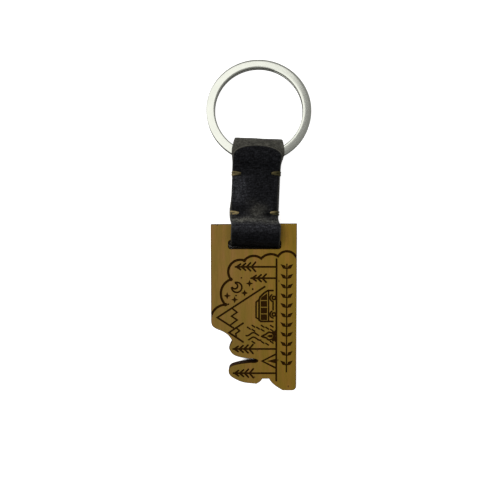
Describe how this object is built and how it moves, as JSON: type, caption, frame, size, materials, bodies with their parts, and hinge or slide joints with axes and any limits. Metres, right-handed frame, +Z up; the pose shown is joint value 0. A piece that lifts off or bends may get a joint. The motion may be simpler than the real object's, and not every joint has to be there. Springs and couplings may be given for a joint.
{
  "type": "keychain",
  "caption": "Flat split ring and laser-cut wooden tag joined by a folded black leather strap with edge stitches.",
  "frame": {"origin": "middle of the footprint, on the surface that the keychain lies on", "axes": "+Y along the keychain from the tag to the ring, +Z up out of the engraved face, +X to the right"},
  "size_m": [0.03, 0.095, 0.009],
  "materials": {
    "ring_steel": "satin",
    "strap_leather": "smooth, worn at the folds",
    "stitch_thread": "waxed thread",
    "tag_wood": "satin, laser engraved"
  },
  "bodies": {
    "strap": {"leather_strap": "strap_leather", "stitch_upper_left": "stitch_thread", "stitch_upper_right": "stitch_thread", "stitch_lower_left": "stitch_thread", "stitch_lower_right": "stitch_thread"},
    "ring": {"split_ring": "ring_steel"},
    "tag": {"wooden_tag": "tag_wood"}
  },
  "joints": [
    {"name": "ring_swing", "type": "hinge", "parent": "strap", "child": "ring", "pos_m": [-0.00053, 0.01998, 0.00385], "axis": [0.9991, -0.0419, 0], "range_deg": [-120, 120]},
    {"name": "tag_swing", "type": "hinge", "parent": "strap", "child": "tag", "pos_m": [-0.00146, -0.00228, 0.00425], "axis": [1, 0, 0], "range_deg": [-95, 95]}
  ]
}
